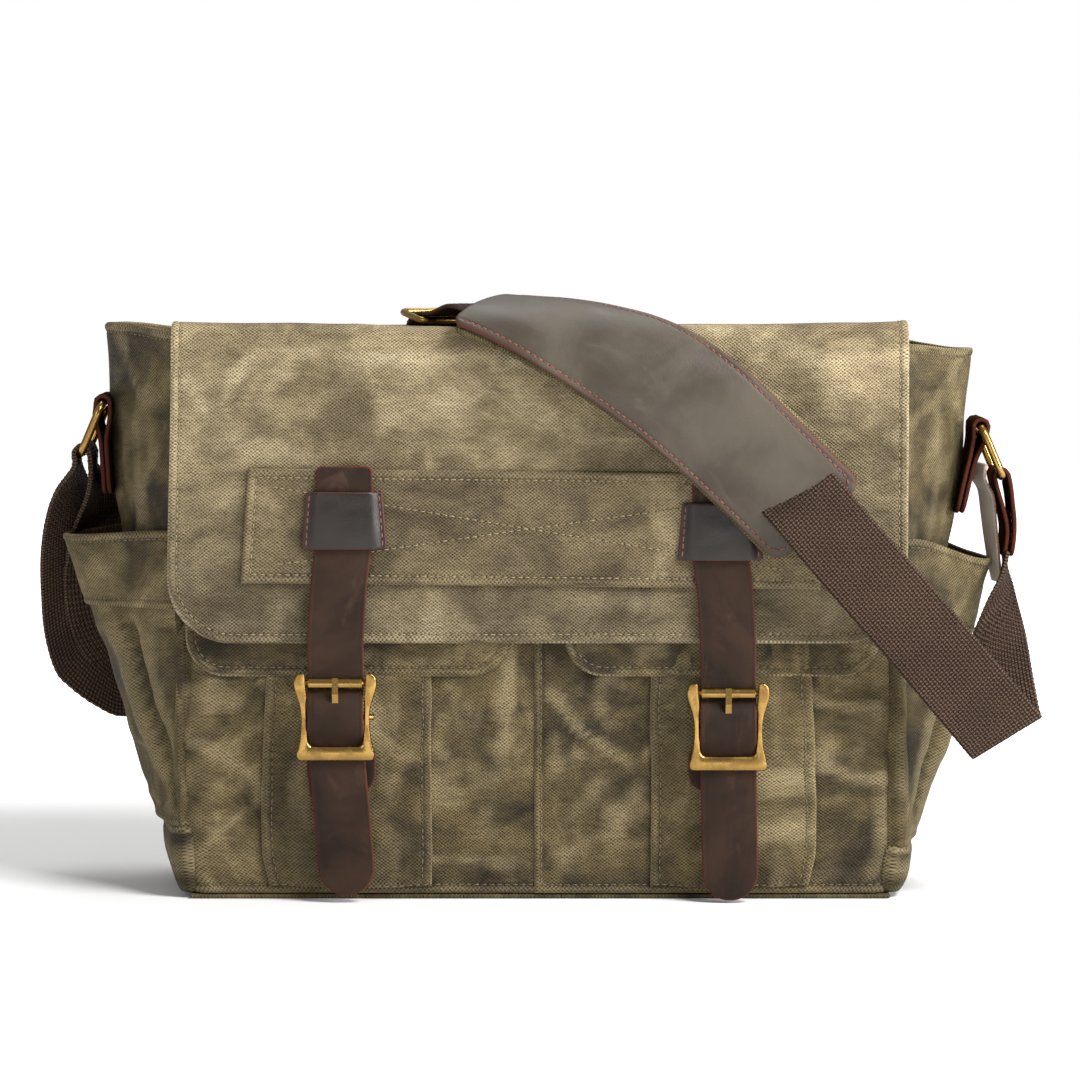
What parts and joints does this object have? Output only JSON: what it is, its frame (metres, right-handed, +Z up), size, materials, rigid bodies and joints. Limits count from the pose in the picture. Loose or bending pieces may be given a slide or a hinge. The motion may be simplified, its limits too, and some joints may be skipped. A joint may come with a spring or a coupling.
{
  "type": "messenger bag",
  "caption": "Waxed canvas messenger bag with a full flap, leather buckle straps, front and side pockets and a webbing shoulder strap with a leather pad.",
  "frame": {"origin": "centre of the base, on the surface that the bag stands on", "axes": "+Z up, +X to the right seen from the front, +Y from the front flap to the back panel"},
  "size_m": [0.497, 0.1848, 0.3115],
  "materials": {
    "canvas": "waxed, mottled",
    "lining_cloth": "matte",
    "leather": "satin, oiled",
    "webbing": "matte, coarse weave",
    "pad_cloth": "matte",
    "brass": "antique",
    "snap_metal": "satin",
    "board": "matte",
    "thread": "matte"
  },
  "bodies": {
    "root": {"back_panel": "canvas", "base_board": "board", "boot_left": "canvas", "boot_right": "canvas", "bottom_panel": "canvas", "flap_seam_strip": "canvas", "front_panel": "canvas", "front_pocket_panel_left": "canvas", "front_pocket_panel_right": "canvas", "gusset_left": "canvas", "gusset_right": "canvas", "laptop_sleeve": "lining_cloth", "lining": "lining_cloth", "pocket_divider": "canvas", "pocket_pleat_left": "canvas", "pocket_pleat_right": "canvas", "ring_chape_left": "leather", "ring_chape_right": "leather", "side_pocket_band_left": "canvas", "side_pocket_band_right": "canvas", "side_pocket_left": "canvas", "side_pocket_right": "canvas", "snap_socket_left": "snap_metal", "snap_socket_right": "snap_metal", "strap_tab_right": "leather", "webbing_back": "webbing", "webbing_left": "webbing", "webbing_return": "webbing", "webbing_right": "webbing"},
    "flap_top": {"flap_top": "canvas", "webbing_top": "webbing"},
    "flap_front": {"flap_front": "canvas", "flap_band": "canvas", "strap_anchor_left": "leather", "strap_anchor_right": "leather", "strap_keeper_left": "leather", "strap_keeper_right": "leather", "shoulder_pad": "leather", "pad_lining": "pad_cloth", "webbing_front": "webbing"},
    "slide": {"strap_slide": "brass"},
    "closure_left": {"closure_strap_left": "leather", "buckle_frame_left": "brass", "buckle_chape_left": "leather", "snap_stud_left": "snap_metal"},
    "roller_left": {"buckle_roller_left": "brass"},
    "prong_left": {"buckle_prong_left": "brass"},
    "pocket_flap_left": {"pocket_flap_left": "canvas"},
    "ring_left": {"strap_ring_left": "brass"},
    "closure_right": {"closure_strap_right": "leather", "buckle_frame_right": "brass", "buckle_chape_right": "leather", "snap_stud_right": "snap_metal"},
    "roller_right": {"buckle_roller_right": "brass"},
    "prong_right": {"buckle_prong_right": "brass"},
    "pocket_flap_right": {"pocket_flap_right": "canvas"},
    "ring_right": {"strap_ring_right": "brass"}
  },
  "joints": [
    {"name": "flap_lift", "type": "hinge", "parent": "root", "child": "flap_top", "pos_m": [0, 0.0615, 0.2883], "axis": [-1, 0, 0], "range_deg": [0, 110], "deforming": ["shoulder_pad", "pad_lining", "webbing_top", "webbing_front", "webbing_right", "webbing_back", "webbing_return", "webbing_left"]},
    {"name": "flap_unfold", "type": "hinge", "parent": "flap_top", "child": "flap_front", "pos_m": [0, -0.0682, 0.2879], "axis": [-1, 0, 0], "range_deg": [0, 100], "deforming": ["shoulder_pad", "pad_lining", "webbing_top", "webbing_front", "webbing_right", "webbing_back", "webbing_return", "webbing_left"]},
    {"name": "pocket_flap_left_lift", "type": "hinge", "parent": "root", "child": "pocket_flap_left", "pos_m": [0, -0.0475, 0.1725], "axis": [-1, 0, 0], "range_deg": [0, 70]},
    {"name": "strap_left_swing", "type": "hinge", "parent": "flap_front", "child": "closure_left", "pos_m": [-0.101, -0.0744, 0.1744], "axis": [-1, 0, 0], "range_deg": [0, 70]},
    {"name": "prong_left_play", "type": "hinge", "parent": "closure_left", "child": "prong_left", "pos_m": [-0.101, -0.076, 0.093], "axis": [1, 0, 0], "range_deg": [0, 6]},
    {"name": "roller_left_spin", "type": "hinge", "parent": "closure_left", "child": "roller_left", "pos_m": [-0.101, -0.0783, 0.11], "axis": [1, 0, 0], "continuous": true},
    {"name": "ring_left_swing", "type": "hinge", "parent": "root", "child": "ring_left", "pos_m": [-0.221, 0, 0.246], "axis": [0, 1, 0], "range_deg": [-5, 5], "deforming": ["webbing_left"]},
    {"name": "pocket_flap_right_lift", "type": "hinge", "parent": "root", "child": "pocket_flap_right", "pos_m": [0, -0.0475, 0.1725], "axis": [-1, 0, 0], "range_deg": [0, 70]},
    {"name": "strap_right_swing", "type": "hinge", "parent": "flap_front", "child": "closure_right", "pos_m": [0.093, -0.0744, 0.1689], "axis": [-1, 0, 0], "range_deg": [0, 70]},
    {"name": "prong_right_play", "type": "hinge", "parent": "closure_right", "child": "prong_right", "pos_m": [0.093, -0.076, 0.088], "axis": [1, 0, 0], "range_deg": [0, 6]},
    {"name": "roller_right_spin", "type": "hinge", "parent": "closure_right", "child": "roller_right", "pos_m": [0.093, -0.0783, 0.105], "axis": [1, 0, 0], "continuous": true},
    {"name": "ring_right_swing", "type": "hinge", "parent": "root", "child": "ring_right", "pos_m": [0.223, 0, 0.234], "axis": [0, 1, 0], "range_deg": [-5, 5], "deforming": ["webbing_right"]},
    {"name": "slide_travel", "type": "slide", "parent": "flap_top", "child": "slide", "axis": [-0.4478, 0.8941, 0], "range_m": [-0.004, 0.01], "deforming": ["webbing_top"]}
  ],
  "couplings": [
    {"joint": "pocket_flap_left_lift", "follows": "flap_unfold", "ratio": 0.7},
    {"joint": "pocket_flap_right_lift", "follows": "flap_unfold", "ratio": 0.7}
  ]
}
